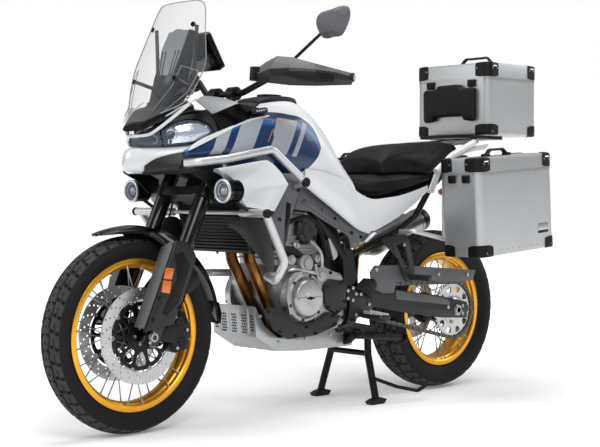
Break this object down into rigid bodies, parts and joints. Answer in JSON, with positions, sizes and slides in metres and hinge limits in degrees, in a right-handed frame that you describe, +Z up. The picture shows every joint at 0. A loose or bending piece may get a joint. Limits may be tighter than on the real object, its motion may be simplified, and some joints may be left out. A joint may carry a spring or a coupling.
{
  "type": "adventure motorcycle",
  "caption": "Upright touring motorcycle with wire-spoked wheels, tall windscreen, crash bars, hinged aluminium cases, centre stand and side stand.",
  "frame": {"origin": "bottom centre of the bounding box, on the ground, on the middle plane", "axes": "+Z up, -Y the direction of travel, +X the left side of the machine"},
  "size_m": [0.97, 2.314, 1.448],
  "materials": {
    "anodised_gold": "satin",
    "tyre": "matte",
    "steel": "brushed",
    "black_metal": "satin",
    "black_plastic": "matte",
    "grey_plastic": "matte",
    "silver_cast": "cast",
    "grey_cast": "satin",
    "exhaust_steel": "satin",
    "aluminium": "satin",
    "silver_bar": "satin",
    "blue_paint": "gloss",
    "white_paint": "gloss",
    "clear_lens": "polished",
    "screen": "polished",
    "seat_cover": "textured",
    "red_lens": "polished"
  },
  "bodies": {
    "chassis": {"backrest": "seat_cover", "chain": "steel", "crash_bars": "silver_bar", "engine": "silver_cast", "engine_covers": "grey_cast", "exhaust": "exhaust_steel", "fog_lights": "black_metal", "footrests": "grey_cast", "frame": "black_metal", "front_cowl": "white_paint", "fuel_tank": "blue_paint", "grab_rails": "white_paint", "headlight": "clear_lens", "instrument_tower": "black_plastic", "left_pannier": "aluminium", "luggage_rack": "black_metal", "pannier_racks": "silver_bar", "passenger_seat": "seat_cover", "radiator": "black_metal", "radiator_shrouds": "white_paint", "rear_caliper": "black_metal", "rear_lamps": "red_lens", "rider_seat": "seat_cover", "right_pannier": "aluminium", "screen_trim": "white_paint", "shock_absorber": "black_metal", "side_covers": "grey_plastic", "side_panels": "white_paint", "skid_plate": "aluminium", "swingarm": "black_metal", "swingarm_cover": "grey_plastic", "tail_unit": "black_plastic", "tank_wings": "blue_paint", "top_case": "aluminium", "windscreen": "screen"},
    "steering": {"fork_legs": "black_metal", "fork_yokes": "black_metal", "handlebar": "black_metal", "hand_controls": "black_plastic", "mirrors": "black_plastic", "handguards": "grey_plastic", "front_fender": "black_plastic", "fork_guards": "grey_plastic", "front_calipers": "black_metal"},
    "front_wheel": {"front_wheel": "anodised_gold", "front_tyre": "tyre", "front_discs": "steel"},
    "rear_wheel": {"rear_wheel": "anodised_gold", "rear_tyre": "tyre", "rear_disc": "steel", "rear_sprocket": "steel"},
    "centre_stand": {"centre_stand": "black_metal"},
    "side_stand": {"side_stand": "black_metal"},
    "left_pannier_lid": {"left_pannier_lid": "aluminium"},
    "right_pannier_lid": {"right_pannier_lid": "aluminium"},
    "top_case_lid": {"top_case_lid": "aluminium"}
  },
  "joints": [
    {"name": "steering", "type": "hinge", "parent": "chassis", "child": "steering", "pos_m": [0, -0.79084, 0.31167], "axis": [0, 0.4226, 0.9063], "range_deg": [-36, 36]},
    {"name": "front_wheel_spin", "type": "hinge", "parent": "steering", "child": "front_wheel", "pos_m": [0, -0.828, 0.329], "axis": [1, 0, 0], "continuous": true},
    {"name": "rear_wheel_spin", "type": "hinge", "parent": "chassis", "child": "rear_wheel", "pos_m": [0, 0.703, 0.325], "axis": [1, 0, 0], "continuous": true},
    {"name": "centre_stand_fold", "type": "hinge", "parent": "chassis", "child": "centre_stand", "pos_m": [0, 0.222, 0.271], "axis": [1, 0, 0], "range_deg": [0, 87]},
    {"name": "side_stand_swing", "type": "hinge", "parent": "chassis", "child": "side_stand", "pos_m": [0.15, 0.072, 0.262], "axis": [-0.8192, 0, -0.5736], "range_deg": [0, 100]},
    {"name": "left_pannier_lid_open", "type": "hinge", "parent": "chassis", "child": "left_pannier_lid", "pos_m": [0.3885, 0.404, 0.868], "axis": [1, 0, 0], "range_deg": [0, 85]},
    {"name": "right_pannier_lid_open", "type": "hinge", "parent": "chassis", "child": "right_pannier_lid", "pos_m": [-0.3885, 0.404, 0.868], "axis": [1, 0, 0], "range_deg": [0, 85]},
    {"name": "top_case_lid_open", "type": "hinge", "parent": "chassis", "child": "top_case_lid", "pos_m": [0, 0.827, 1.268], "axis": [1, 0, 0], "range_deg": [0, 85]}
  ]
}
